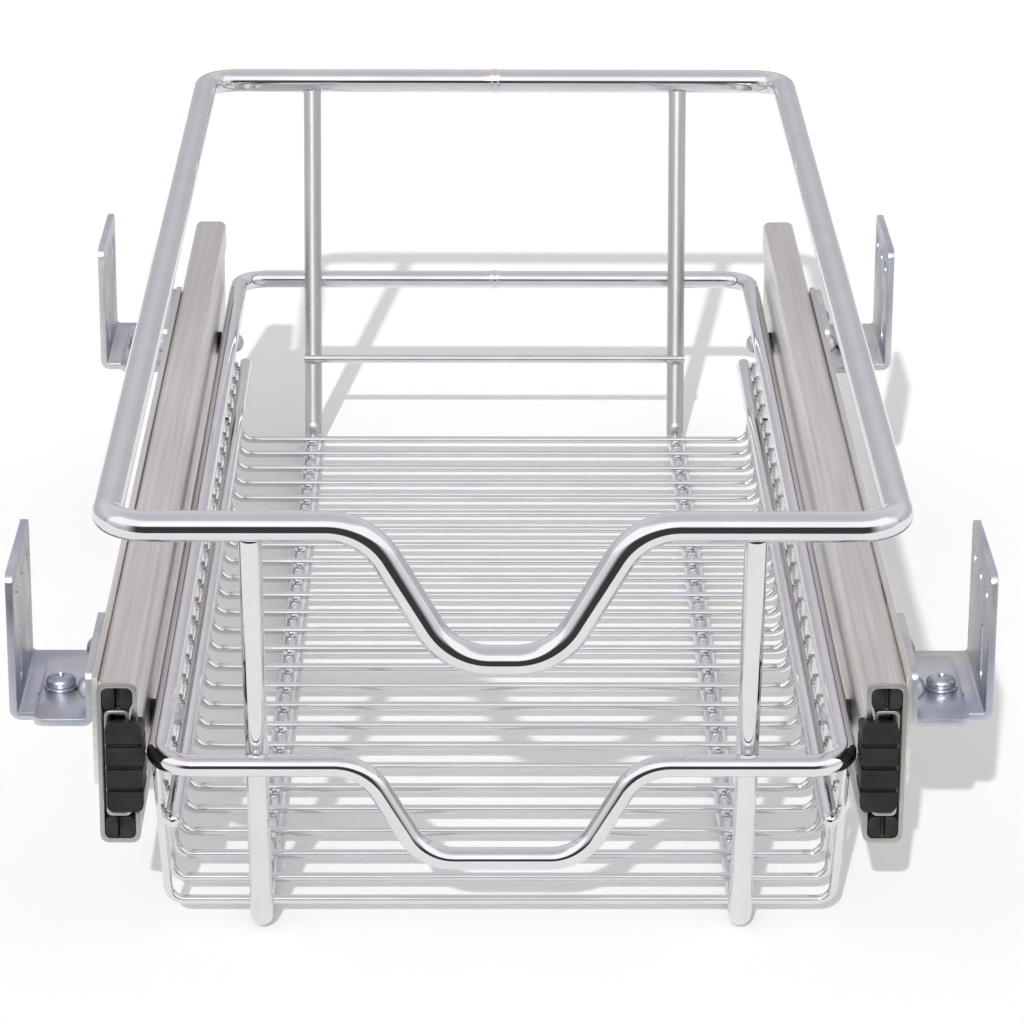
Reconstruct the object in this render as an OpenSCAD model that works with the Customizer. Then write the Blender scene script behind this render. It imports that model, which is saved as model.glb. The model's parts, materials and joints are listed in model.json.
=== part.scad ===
// Pull out wire basket for a kitchen cabinet, on a pair of ball bearing slides.
// Millimetres. X runs across the cabinet, Y from the front (-) to the back (+), Z is up.
// The origin lies under the middle of the basket, on the plane that its two runners stand on.

/* [Upper rail] */
// Width of the upper rail between its rod centres
rail_w = 202; // [180:1:206]
// Depth of the upper rail between its rod centres
rail_depth = 454; // [440:1:500]
// Height of the upper rail's rod centre over the floor
rail_z = 125.5; // [120:0.5:145]
// Diameter of the upper rail's rod
rail_d = 8; // [7:0.5:9]
// Bend radius of the upper rail's corners, at the rod centre
rail_corner_r = 11; // [9:0.5:16]
// Length of the straight bottom of the upper rail's hand dip
rail_dip_flat = 6.4; // [1:0.2:20]
// Depth of the hand dip in the upper rail's front
rail_dip_drop = 36.5; // [30:0.5:37]
// Bend radius of the upper rail's hand dip
rail_dip_r = 18; // [12:0.5:19]
// Slope of the upper rail's hand dip
rail_dip_slope = 60; // [54:1:64]

/* [Lower ring] */
// Width of the lower ring between its rod centres
ring_w = 180.6; // [178:0.2:182]
// Height of the lower ring's rod centre over the floor
ring_z = 55.6; // [54:0.2:57]
// Diameter of the lower ring's rod
ring_d = 6; // [5:0.5:6.5]
// Bend radius of the lower ring's corners, at the rod centre
ring_corner_r = 10; // [8:0.5:12]
// Length of the straight bottom of the lower ring's hand dip
ring_dip_flat = 25; // [16:0.5:34]
// Depth of the hand dip in the lower ring's front
ring_dip_drop = 26.5; // [20:0.5:28]
// Bend radius of the lower ring's hand dip
ring_dip_r = 14; // [10:0.5:15]
// Slope of the lower ring's hand dip
ring_dip_slope = 60; // [52:1:64]
// Length of the butt weld bead that closes each rod ring at its back
seam_l = 2.4; // [1.5:0.1:4]

/* [Runners] */
// Distance between the two runners
runner_gap = 128.4; // [110:0.2:140]
// Depth of a runner between the corner points of its bottom bends
runner_depth = 400; // [396:0.2:404]
// Diameter of the runners' wire
runner_d = 6; // [5:0.5:6.5]
// Bend radius of a runner's bottom corners, at the wire centre
runner_bend_r = 6; // [5:0.5:8]
// Height of the thin cross wire between the rear uprights
cross_z = 31; // [25:0.5:40]
// Diameter of the thin cross wire
cross_d = 3; // [2.5:0.1:3.5]
// How far the cross wire reaches past each rear upright's centre
cross_over = 3; // [2:0.5:8]

/* [Floor wires] */
// Diameter of the floor wires
floor_d = 2.5; // [2:0.1:2.8]
// Distance from one floor wire to the next
floor_pitch = 15.2; // [14:0.1:15.3]
// Number of equal floor wires behind the front end wire
floor_count = 25; // [20:1:25]
// Distance of the first equal floor wire from the basket's middle
floor_start = 181.4; // [175:0.2:182]
// How far the floor wires' bottom corner points lie inside the lower ring's sides
floor_in = 1.1; // [0.7:0.1:1.9]
// Bend radius of a floor wire's corners, at the wire centre
floor_bend_r = 4.5; // [4:0.5:6]
// Outward lean of the floor wires' raised ends
floor_lean = 3.6; // [3:0.1:4]
// Height of a side bar's centre over the floor
bar_z = 33; // [31:0.5:35]
// Diameter of the side bars
bar_d = 5; // [4:0.5:5.5]
// How far a floor wire's tip stands over the side bar's centre
tip_over = 2.4; // [2:0.1:3]
// How far a side bar runs past its last wire at each end
bar_over = 7; // [5:0.5:9]

/* [Slides] */
// Length of the cabinet member
slide_l = 430; // [424:1:440]
// Height of a slide
slide_h = 45; // [44:0.5:46]
// Width of a slide's cabinet member
slide_t = 10.6; // [10.4:0.1:11]
// Distance of a slide's centre line below the lower ring's rod centre
slide_drop = 0.6; // [0.2:0.1:1]
// Gap between the lower ring's side and the slide
slide_gap = 1.5; // [1.5:0.1:2]
// Sheet thickness of the cabinet member
cabinet_sheet = 1.2; // [1:0.1:1.2]
// Height of the cabinet member's turned lips
cabinet_lip = 9.5; // [9:0.1:10]
// Outer corner radius of the cabinet member's section
cabinet_round = 2.4; // [2:0.1:2.8]
// Sheet thickness of the middle and drawer members
inner_sheet = 1; // [0.8:0.1:1]
// Height of the outer ball tracks, between the cabinet member and the middle member
outer_track_t = 6.4; // [6:0.1:6.6]
// Height of the inner ball tracks, between the middle member and the drawer member
inner_track_t = 3.3; // [3.1:0.1:3.6]
// Distance of the middle member's lips from the slide's open face
middle_in = 2.2; // [2:0.1:2.3]
// Height of the middle member's turned lips
middle_lip = 3.9; // [3.5:0.1:4]
// Distance of the drawer member's web from the slide's open face
drawer_in = 0.4; // [0.4:0.1:0.6]
// Width of the drawer member
drawer_t = 6.6; // [6.2:0.1:6.8]
// Running gap between one slide member and the next
slide_run = 0.6; // [0.5:0.05:0.7]
// Length of the drawer's travel
travel = 400; // [300:5:400]

/* [Ball cages] */
// Length of a ball cage
cage_l = 190; // [150:5:195]
// Play of a ball between its two tracks, at each side
ball_gap = 0.2; // [0.15:0.05:0.25]
// Balls in one cage
ball_count = 9; // [5:1:12]
// Thickness of the outer cages
outer_cage_t = 3; // [2:0.1:3.4]
// Thickness of the inner cages
inner_cage_t = 1.5; // [1:0.1:1.7]
// Gap round a cage and round each of its balls
cage_gap = 0.3; // [0.3:0.05:0.35]

/* [Slide ends] */
// Length of the plastic guides in the cabinet member's front
guide_l = 14; // [10:0.5:15]
// Length of the rubber bumper ahead of the drawer member
bumper_l = 12; // [10:0.5:14]
// Length of the bumper's plug inside the drawer member
bumper_plug_l = 10; // [6:0.5:14]
// How far the bumper stands out of the slide's open face, towards the basket
bumper_out = 1.2; // [0.8:0.1:1.2]
// How far the bumper stands out of the slide's front
bumper_front = 3; // [2:0.1:4]
// Height of the bumper's cap, which covers the slide's middle from the front
bumper_cap_h = 25; // [20:0.5:26]
// Width of the bumper's cap
bumper_cap_w = 9.6; // [8.6:0.1:10]
// Gap between the bumper's cap and the slide's front
bumper_cap_gap = 0.4; // [0.3:0.1:0.8]
// Width of the grooves in the bumper's face
bumper_groove = 1.2; // [0.8:0.1:1.6]
// How deep the grooves reach into the bumper's side
bumper_groove_in = 0.9; // [0.4:0.1:1.2]
// Width of the groove down the face of each front guide
guide_groove = 1.2; // [0.8:0.1:1.6]
// Depth of the groove in each front guide
guide_groove_l = 3; // [1:0.5:6]
// Thickness of the rear stops
stop_l = 4; // [3:0.5:5]

/* [Basket tabs] */
// Distance of the slide tabs from the basket's middle, front and back
tab_y = 165; // [150:1:170]
// Radius of a half round slide tab
tab_r = 11.5; // [11:0.1:12]
// Thickness of a slide tab
tab_t = 2; // [1.5:0.1:2.4]
// Distance of a tab's rivet below the ring's centre
tab_hole_drop = 7; // [6.9:0.1:7.1]
// Diameter of a tab's rivet
tab_rivet_d = 4; // [3.6:0.1:4]
// Diameter of the tab rivet's head
tab_head_d = 6.4; // [6:0.1:6.4]
// Diameter of the spacers between the tabs and the slides
spacer_d = 7.6; // [7:0.1:7.8]

/* [Mounting strips] */
// Thickness of the strip on the outer side of each slide
strip_t = 1.6; // [1.2:0.1:2]
// Height of a mounting strip
strip_h = 30; // [26:1:32]
// Distance of a mounting strip's front end behind the slide's front
strip_in = 4; // [3:0.5:8]
// Distance of the strip's own rivet behind the slide's front
strip_rivet_in = 59; // [58:1:110]

/* [Brackets] */
// Space between a mounting strip and the cabinet's side
side_space = 23; // [22:0.5:24]
// Distance of the front clamping screws behind the slides' fronts
front_bracket_in = 31; // [27:1:33]
// Distance of the rear clamping screws ahead of the slides' backs
rear_bracket_in = 101; // [65:1:115]
// Length of a bracket along the slide
bracket_l = 45; // [42:1:46]
// How far the wall brackets sit behind the slide angles
wall_shift = 9; // [5:0.5:12]
// Sheet thickness of the brackets
bracket_t = 2; // [1.5:0.1:2.2]
// Height of a wall bracket's plate
wall_plate_h = 41; // [39:1:46]
// Height of the wall brackets' underside over the slides' centre line
bracket_rise = 5; // [3:0.5:7]
// Inner radius of the brackets' bends
bracket_bend = 1; // [0.5:0.5:2]
// Depth of a wall bracket's foot, from the wall inwards
wall_foot = 18.5; // [18:0.5:19.5]
// Depth of a slide angle's foot, from its upright face outwards
angle_foot = 16; // [15.5:0.5:16.5]
// Width of the adjusting slots in the feet
foot_slot_w = 4.8; // [4.7:0.1:5.4]
// Length of the adjusting slots in the feet
foot_slot_l = 9.5; // [8.5:0.5:10]
// Distance of the clamping screw from the wall
screw_in = 12.5; // [12:0.5:13]
// Radius of the wall screw holes
wall_hole_r = 2.25; // [1.8:0.05:2.6]
// Distance from one wall screw hole to the next
wall_hole_pitch = 14; // [12:0.5:15]
// Wall screw holes in one bracket
wall_hole_count = 3; // [1:1:3]
// Height of the wall screw holes over the bracket's underside
wall_hole_up = 32.5; // [30:0.5:34]
// Height of the wall slot's centre over the bracket's underside
wall_slot_up = 14; // [13.5:0.5:15]
// Distance of the wall slot ahead of the bracket's middle
wall_slot_fore = 9; // [0:0.5:12]
// Length of the wall slot
wall_slot_l = 16; // [12:1:18]
// Corner radius of the brackets' plates
plate_round = 3; // [2:0.5:5]

/* [Fasteners] */
// Diameter of the clamping screws
screw_d = 4; // [3.8:0.1:4.6]
// Diameter of the clamping screws' pan heads
screw_head_d = 8; // [7.4:0.1:8.6]
// Height of the clamping screws' pan heads
screw_head_h = 2.8; // [2.4:0.1:3.2]
// Width of the cross recess in a screw head
recess_w = 1.2; // [0.8:0.1:1.4]
// Diameter of the washers
washer_d = 9; // [8.6:0.1:10]
// Thickness of the washers
washer_t = 0.8; // [0.6:0.1:1.2]
// Width of the nuts across their flats
nut_af = 7; // [6.8:0.1:8]
// Thickness of the nuts
nut_t = 3.2; // [2.6:0.1:4]
// Diameter of the bracket rivets
rivet_d = 4; // [3:0.1:4.4]
// Diameter of the bracket rivets' heads
rivet_head_d = 6.6; // [5.6:0.1:7.4]
// Height of the rivets' heads
rivet_head_h = 2.8; // [1.6:0.1:3]
// Distance of a bracket's two rivets from its centre
rivet_off = 14; // [12:0.5:15]
// Distance of the bracket rivets below the slide's top
rivet_drop = 8; // [7:0.5:9]

/* [Fits] */
// How deep welded wires sink into each other
weld_sink = 0.25; // [0.1:0.05:0.3]
// Gap round a rivet or screw in its hole
hole_gap = 0.2; // [0.1:0.05:0.3]
// Small gap where two pieces only meet
seat_gap = 0.1; // [0.05:0.05:0.15]

/* [Hidden] */
$fn = 64;

chrome = "gainsboro";
slide_steel = "tan";
zinc = "lightsteelblue";
black_plastic = [0.15, 0.15, 0.15];
dark_rubber = [0.25, 0.25, 0.27];
ball_steel = "silver";

// A bend is this much fatter than its straight, and the straight reaches this far into it.
bend_swell = 0.06;
bend_grip = 0.15;

// Runners: the uprights lean outwards from the bottom to the middle of the upper rail's bars.
runner_x = runner_gap / 2;
runner_z = runner_d / 2;
upright_rise = rail_z - runner_z;
upright_out = (rail_depth - runner_depth) / 2;
upright_lean = atan(upright_out / upright_rise);
function upright_y(z) = runner_depth / 2 + (z - runner_z) * tan(upright_lean);

// The lower ring goes round the outside of the uprights, and the cross wire inside the rear ones.
ring_depth = 2 * (upright_y(ring_z) + (runner_d + ring_d) / 2 / cos(upright_lean) - weld_sink);
cross_y = upright_y(cross_z) - (runner_d + cross_d) / 2 / cos(upright_lean) + weld_sink;

// Floor wires lie on the runners. Their raised ends lean outwards past the side bars.
floor_half = ring_w / 2 - floor_in;
floor_z = runner_d + floor_d / 2 - weld_sink;
tip_z = bar_z + tip_over;
function riser_x(z) = floor_half + (z - floor_z) * tan(floor_lean);
bar_x = riser_x(bar_z) - (bar_d + floor_d) / 2 / cos(floor_lean) + weld_sink;
last_floor_y = -floor_start + floor_pitch * (floor_count - 1);

// The front end wire nests in the runners' front bends, half way up their inner curve.
bend_mid = (90 - upright_lean) / 2;
bend_inset = runner_bend_r * tan(bend_mid);
nest_r = runner_bend_r - (runner_d + floor_d) / 2 + weld_sink;
end_wire_y = -(runner_depth / 2 - bend_inset + nest_r * sin(bend_mid));
end_wire_z = runner_z + runner_bend_r - nest_r * cos(bend_mid);
end_wire_tip_z = ring_z - ring_d / 2 - floor_d / 4;

// Slides: u runs from a slide's open face, next to the basket, towards the cabinet's side.
slide_x = ring_w / 2 + ring_d / 2 + slide_gap;
slide_z = ring_z - slide_drop;
slide_out_x = slide_x + slide_t;
slide_front = -slide_l / 2;
slide_back = slide_l / 2;
member_back = slide_back - stop_l - cage_gap;
middle_h = slide_h - 2 * cabinet_sheet - 2 * outer_track_t;
drawer_h = middle_h - 2 * inner_sheet - 2 * inner_track_t;
middle_out = slide_t - cabinet_sheet - slide_run;
drawer_front = slide_front + bumper_l - bumper_front;
cap_out = bumper_cap_w - bumper_out;

// Ball tracks: each lies between one member's flange and the next member's flange.
outer_track_low = middle_h / 2;
outer_track_high = slide_h / 2 - cabinet_sheet;
outer_track_z = (outer_track_low + outer_track_high) / 2;
outer_track_u = slide_t / 2;
outer_cage_w = slide_t - 2 * cabinet_sheet - 2 * cage_gap;
inner_track_low = drawer_h / 2;
inner_track_high = middle_h / 2 - inner_sheet;
inner_track_z = (inner_track_low + inner_track_high) / 2;
inner_track_u = (middle_in + middle_out) / 2;
inner_cage_w = middle_out - middle_in - 2 * inner_sheet - 2 * cage_gap;
ball_pitch = cage_l / ball_count;
outer_ball_d = outer_track_t - 2 * ball_gap;
inner_ball_d = inner_track_t - 2 * ball_gap;

// Tabs hang under the lower ring. Their rivets hold the drawer members, over spacers.
tab_x = ring_w / 2;
tab_hole_z = ring_z - tab_hole_drop;
drawer_web_x = slide_x + drawer_in;

// Brackets
angle_x = slide_out_x + strip_t;
wall_x = angle_x + side_space;
screw_x = wall_x - screw_in;
front_bracket_y = slide_l / 2 - front_bracket_in;
rear_bracket_y = slide_l / 2 - rear_bracket_in;
strip_rivet_y = slide_l / 2 - strip_rivet_in;
bracket_z = slide_z + bracket_rise;
angle_z = bracket_z + bracket_t;
screw_seat_z = angle_z + bracket_t;
angle_top_z = slide_z + slide_h / 2;
rivet_z = angle_top_z - rivet_drop;
strip_front = slide_front + strip_in;
strip_back = rear_bracket_y + bracket_l / 2;
bracket_ys = [-front_bracket_y, rear_bracket_y];
rivet_ys = [
    -front_bracket_y - rivet_off, -front_bracket_y + rivet_off,
    rear_bracket_y - rivet_off, rear_bracket_y + rivet_off, -strip_rivet_y
];
// The feet's slots are centred on the screw, the wall foot's one a little further out.
slot_shift = 1.5;

// ---------- shared shapes ----------

// One bend of a wire, from the origin and the +X direction, turning towards +Y.
module wire_bend(d, r, a)
    translate([0, r, 0])
        rotate([0, 0, -90])
            rotate_extrude(angle = a)
                translate([r, 0])
                    circle(d = d + bend_swell);

// A bent wire that starts at the origin along +X.
// Each step is [straight length, bend radius, bend angle, roll about the wire before the step].
module bent_wire(d, steps, i = 0) {
    if (i < len(steps)) {
        step = steps[i];
        l = step[0];
        r = step[1];
        a = step[2];
        before = i > 0 ? bend_grip : 0;
        after = a > 0 ? bend_grip : 0;
        rotate([step[3], 0, 0]) {
            translate([-before, 0, 0])
                rotate([0, 90, 0])
                    cylinder(d = d, h = l + before + after);
            if (a > 0)
                translate([l, 0, 0]) {
                    wire_bend(d, r, a);
                    translate([r * sin(a), r * (1 - cos(a)), 0])
                        rotate([0, 0, a])
                            bent_wire(d, steps, i + 1);
                }
        }
    }
}

// A closed rod ring with rounded corners and a hand dip in its front, welded at its back.
module dipped_ring(w, depth, z, d, corner_r, flat, drop, dip_r, slope) {
    slope_l = (drop - 2 * dip_r * (1 - cos(slope))) / sin(slope);
    dip_half = flat / 2 + 2 * dip_r * sin(slope) + slope_l * cos(slope);
    half_back = w / 2 - corner_r;
    side = depth - 2 * corner_r;
    front_end = w / 2 - corner_r - dip_half;
    translate([0, depth / 2, z]) {
        bent_wire(d, [
            [half_back, corner_r, 90, 180],
            [side, corner_r, 90, 0],
            [front_end, dip_r, slope, 90],
            [slope_l, dip_r, slope, 180],
            [flat, dip_r, slope, 0],
            [slope_l, dip_r, slope, 180],
            [front_end, corner_r, 90, -90],
            [side, corner_r, 90, 0],
            [half_back, 0, 0, 0]
        ]);
        rotate([0, 90, 0])
            cylinder(d = d + 2 * weld_sink, h = seam_l, center = true);
    }
}

// A U shaped wire across the basket: tip, side, bottom, side, tip.
module cross_u(y, z, top_z) {
    turn = 90 - floor_lean;
    inset = floor_bend_r * tan(turn / 2);
    side = (top_z - z) / cos(floor_lean) - inset;
    start_x = floor_half + (top_z - z) * tan(floor_lean);
    translate([-start_x, y, top_z])
        rotate([0, turn, 0])
            bent_wire(floor_d, [
                [side, floor_bend_r, turn, 90],
                [2 * (floor_half - inset), floor_bend_r, turn, 0],
                [side, 0, 0, 0]
            ]);
}

// A rectangle from x0 to x1, centred on the X axis, with rounded corners.
module round_rect(x0, x1, h, r) {
    translate([x0 + r, -h / 2])
        square([x1 - x0 - 2 * r, h]);
    translate([x0, -h / 2 + r])
        square([x1 - x0, h - 2 * r]);
    for (x = [x0 + r, x1 - r], y = [-h / 2 + r, h / 2 - r])
        translate([x, y])
            circle(r = r);
}

// A channel section that is open towards -u, with lips turned in at its opening.
module channel_section(u0, u1, h, t, lip, r) {
    difference() {
        round_rect(u0, u1, h, r);
        round_rect(u0 + t, u1 - t, h - 2 * t, r - t / 2);
        translate([u0 - t, -h / 2 + lip])
            square([3 * t, h - 2 * lip]);
    }
}

// Runs a section, drawn in u and height, along a slide from y0 to y1.
module along_slide(y0, y1)
    translate([slide_x, y1, slide_z])
        rotate([90, 0, 0])
            linear_extrude(y1 - y0)
                children();

// Draws the left slide's pieces as mirror images of the right ones.
module left_side()
    mirror([1, 0, 0])
        children();

// A slot of a given width and whole length along X, cut through from z0 upwards.
module slot_x(w, l, h)
    for (s = [-1, 1])
        half_slot(w, l, h, s);

// Half of a slot: a round end and a block to the slot's middle.
module half_slot(w, l, h, s) {
    translate([s * (l - w) / 2, 0, 0])
        cylinder(d = w, h = h);
    translate([s > 0 ? 0 : -(l - w) / 2, -w / 2, 0])
        cube([(l - w) / 2, w, h]);
}

// ---------- basket ----------

module rail_bar(s)
    translate([0, s * rail_depth / 2, rail_z])
        rotate([0, 90, 0])
            cylinder(d = rail_d, h = rail_w - 2 * rail_corner_r, center = true);

module upper_rail()
    color(chrome)
        dipped_ring(rail_w, rail_depth, rail_z, rail_d, rail_corner_r,
            rail_dip_flat, rail_dip_drop, rail_dip_r, rail_dip_slope);

module lower_ring()
    color(chrome)
        dipped_ring(ring_w, ring_depth, ring_z, ring_d, ring_corner_r,
            ring_dip_flat, ring_dip_drop, ring_dip_r, ring_dip_slope);

// A runner: front upright, bottom and rear upright in one wire, coped under the upper rail.
module runner(s) {
    turn = 90 - upright_lean;
    inset = runner_bend_r * tan(turn / 2);
    upright = upright_rise / cos(upright_lean) - inset;
    color(chrome)
        difference() {
            translate([s * runner_x, -rail_depth / 2, rail_z])
                rotate([0, 0, 90])
                    rotate([0, turn, 0])
                        bent_wire(runner_d, [
                            [upright, runner_bend_r, turn, 90],
                            [runner_depth - 2 * inset, runner_bend_r, turn, 0],
                            [upright, 0, 0, 0]
                        ]);
            for (end = [-1, 1])
                rail_bar(end);
        }
}

module left_runner()
    runner(-1);

module right_runner()
    runner(1);

module rear_cross_wire()
    color(chrome)
        translate([0, cross_y, cross_z])
            rotate([0, 90, 0])
                cylinder(d = cross_d, h = runner_gap + 2 * cross_over, center = true);

module front_end_wire()
    color(chrome)
        cross_u(end_wire_y, end_wire_z, end_wire_tip_z);

module floor_wires()
    color(chrome)
        for (i = [0 : floor_count - 1])
            cross_u(-floor_start + i * floor_pitch, floor_z, tip_z);

// A side bar with round ends, inside the wires' raised ends.
module side_bar(s) {
    y0 = end_wire_y - bar_over + bar_d / 2;
    y1 = last_floor_y + bar_over - bar_d / 2;
    color(chrome)
        translate([s * bar_x, 0, bar_z]) {
            translate([0, y0, 0])
                rotate([-90, 0, 0])
                    cylinder(d = bar_d, h = y1 - y0);
            for (y = [y0, y1])
                translate([0, y, 0])
                    sphere(d = bar_d);
        }
}

module left_side_bar()
    side_bar(-1);

module right_side_bar()
    side_bar(1);

// A half round tab under the ring's side, with the hole for its rivet.
module slide_tab(y)
    translate([tab_x, y, ring_z])
        difference() {
            rotate([0, 90, 0])
                cylinder(r = tab_r, h = tab_t, center = true);
            translate([-tab_t, -tab_r - 1, -ring_d / 2 + weld_sink])
                cube([2 * tab_t, 2 * tab_r + 2, tab_r + ring_d]);
            translate([0, 0, -tab_hole_drop])
                rotate([0, 90, 0])
                    cylinder(d = tab_rivet_d + 2 * hole_gap, h = 2 * tab_t, center = true);
        }

module right_slide_tabs()
    color(chrome)
        for (s = [-1, 1])
            slide_tab(s * tab_y);

module left_slide_tabs()
    left_side()
        right_slide_tabs();

// Places a child on each of the four tabs' rivet lines, +X pointing at the slide.
module at_tabs()
    for (m = [0, 1], s = [-1, 1])
        mirror([m, 0, 0])
            translate([tab_x, s * tab_y, tab_hole_z])
                rotate([0, 90, 0])
                    children();

module tab_spacers()
    color(black_plastic)
        at_tabs()
            difference() {
                translate([0, 0, tab_t / 2])
                    cylinder(d = spacer_d, h = drawer_web_x - tab_x - tab_t / 2);
                cylinder(d = tab_rivet_d + 2 * hole_gap, h = 3 * slide_t);
            }

// Rivets through tab, spacer and drawer member: a head at the basket side, a closed end inside.
module tab_rivets()
    color(zinc)
        at_tabs() {
            web = drawer_web_x - tab_x + inner_sheet;
            translate([0, 0, -tab_t / 2 - rivet_head_h])
                cylinder(d = tab_rivet_d, h = web + tab_t / 2 + 2 * rivet_head_h);
            translate([0, 0, -tab_t / 2 - rivet_head_h])
                cylinder(d = tab_head_d, h = rivet_head_h);
            translate([0, 0, web])
                cylinder(d = tab_rivet_d + 4 * hole_gap, h = rivet_head_h);
        }

// ---------- slide members ----------

module right_drawer_member()
    color(slide_steel)
        difference() {
            along_slide(drawer_front, member_back)
                difference() {
                    round_rect(drawer_in, drawer_in + drawer_t + inner_sheet, drawer_h, inner_sheet);
                    translate([drawer_in + inner_sheet, -drawer_h / 2 + inner_sheet])
                        square([2 * drawer_t, drawer_h - 2 * inner_sheet]);
                    translate([drawer_in + drawer_t, -drawer_h])
                        square([2 * drawer_t, 2 * drawer_h]);
                }
            for (s = [-1, 1])
                translate([drawer_web_x - inner_sheet, s * tab_y, tab_hole_z])
                    rotate([0, 90, 0])
                        cylinder(d = tab_rivet_d + 2 * hole_gap, h = 3 * inner_sheet);
        }

module left_drawer_member()
    left_side()
        right_drawer_member();

// The rubber bumper: a grooved cap, a block ahead of the drawer member and a plug inside it.
module right_bumper() {
    plug_h = drawer_h - 2 * inner_sheet - 2 * seat_gap;
    front = slide_front - bumper_front;
    color(dark_rubber)
        difference() {
            union() {
                along_slide(front, slide_front - bumper_cap_gap)
                    round_rect(-bumper_out, cap_out, bumper_cap_h, 2 * inner_sheet);
                along_slide(front, drawer_front - seat_gap)
                    round_rect(-bumper_out, drawer_in + drawer_t, plug_h, inner_sheet);
                along_slide(drawer_front - seat_gap - inner_sheet, drawer_front + bumper_plug_l)
                    translate([drawer_in + inner_sheet + seat_gap, -plug_h / 2])
                        square([drawer_t - inner_sheet - 2 * seat_gap, plug_h]);
            }
            for (i = [-1 : 1])
                translate([0, 0, i * bumper_cap_h / 4]) {
                    along_slide(front - bumper_groove, front + bumper_groove)
                        translate([-2 * bumper_out, -bumper_groove / 2])
                            square([2 * slide_t, bumper_groove]);
                    along_slide(front - bumper_groove, drawer_front)
                        translate([-2 * bumper_out, -bumper_groove / 2])
                            square([bumper_out + bumper_groove_in, bumper_groove]);
                }
        }
}

module left_bumper()
    left_side()
        right_bumper();

module right_middle_member()
    color(slide_steel)
        along_slide(slide_front + seat_gap, member_back)
            channel_section(middle_in, middle_out, middle_h, inner_sheet, middle_lip, 1.5 * inner_sheet);

module left_middle_member()
    left_side()
        right_middle_member();

module right_cabinet_member()
    color(slide_steel)
        difference() {
            along_slide(slide_front, slide_back)
                channel_section(0, slide_t, slide_h, cabinet_sheet, cabinet_lip, cabinet_round);
            strip_holes();
        }

module left_cabinet_member()
    left_side()
        right_cabinet_member();

// ---------- mounting strips ----------

// The holes for a strip's rivets, cut through the slide's outer side and the strip.
module strip_holes()
    for (y = rivet_ys)
        translate([slide_out_x - 2 * cabinet_sheet, y, rivet_z])
            rotate([0, 90, 0])
                cylinder(d = rivet_d + 2 * hole_gap, h = 3 * cabinet_sheet + strip_t);

module right_mount_strip()
    color(slide_steel)
        difference() {
            translate([slide_out_x, strip_front, angle_top_z - strip_h])
                cube([strip_t, strip_back - strip_front, strip_h]);
            strip_holes();
        }

module left_mount_strip()
    left_side()
        right_mount_strip();

// ---------- balls and cages ----------

function ball_y(i) = (i - (ball_count - 1) / 2) * ball_pitch;

// Two cages, over and under the slide's middle, with a hole for each ball.
module cages(u, z, w, t, d)
    for (side = [-1, 1])
        translate([slide_x + u, 0, slide_z + side * z])
            difference() {
                cube([w, cage_l, t], center = true);
                for (i = [0 : ball_count - 1])
                    translate([0, ball_y(i), 0])
                        cylinder(d = d + cage_gap, h = 2 * t, center = true);
            }

module balls(u, z, d)
    for (side = [-1, 1], i = [0 : ball_count - 1])
        translate([slide_x + u, ball_y(i), slide_z + side * z])
            sphere(d = d);

module right_outer_cages()
    color(black_plastic)
        cages(outer_track_u, outer_track_z, outer_cage_w, outer_cage_t, outer_ball_d);

module left_outer_cages()
    left_side()
        right_outer_cages();

module right_outer_balls()
    color(ball_steel)
        balls(outer_track_u, outer_track_z, outer_ball_d);

module left_outer_balls()
    left_side()
        right_outer_balls();

module right_inner_cages()
    color(black_plastic)
        cages(inner_track_u, inner_track_z, inner_cage_w, inner_cage_t, inner_ball_d);

module left_inner_cages()
    left_side()
        right_inner_cages();

module right_inner_balls()
    color(ball_steel)
        balls(inner_track_u, inner_track_z, inner_ball_d);

module left_inner_balls()
    left_side()
        right_inner_balls();

// ---------- slide ends ----------

// Plastic guides that fill the cabinet member's two tracks at its front end.
module right_front_guides() {
    guide_h = outer_track_high - outer_track_low - cage_gap - seat_gap;
    inner_r = cabinet_round - cabinet_sheet / 2;
    color(black_plastic)
        for (side = [-1, 1])
            translate([0, 0, side * (outer_track_high - seat_gap - guide_h / 2)])
                difference() {
                    along_slide(slide_front + seat_gap, slide_front + guide_l)
                        round_rect(cabinet_sheet + seat_gap, slide_t - cabinet_sheet - seat_gap,
                            guide_h, inner_r);
                    along_slide(slide_front - guide_groove_l, slide_front + guide_groove_l)
                        translate([(slide_t - guide_groove) / 2, -guide_h])
                            square([guide_groove, 2 * guide_h]);
                }
}

module left_front_guides()
    left_side()
        right_front_guides();

// A block across the cabinet member's back, which the two inner members close against.
module right_rear_stop()
    color(black_plastic)
        along_slide(slide_back - stop_l, slide_back - seat_gap)
            round_rect(cabinet_sheet + seat_gap, slide_t - cabinet_sheet - seat_gap,
                slide_h - 2 * cabinet_sheet - 2 * seat_gap, cabinet_round - cabinet_sheet / 2);

module left_rear_stop()
    left_side()
        right_rear_stop();

// ---------- brackets ----------

// A plate in the XY plane, l along Y, with its two far corners rounded.
module foot_plate(x0, x1, l, t, r) {
    translate([x0, -l / 2, 0])
        cube([x1 - x0 - r, l, t]);
    translate([x0, -l / 2 + r, 0])
        cube([x1 - x0, l - 2 * r, t]);
    for (s = [-1, 1])
        translate([x1 - r, s * (l / 2 - r), 0])
            cylinder(r = r, h = t);
}

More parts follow.
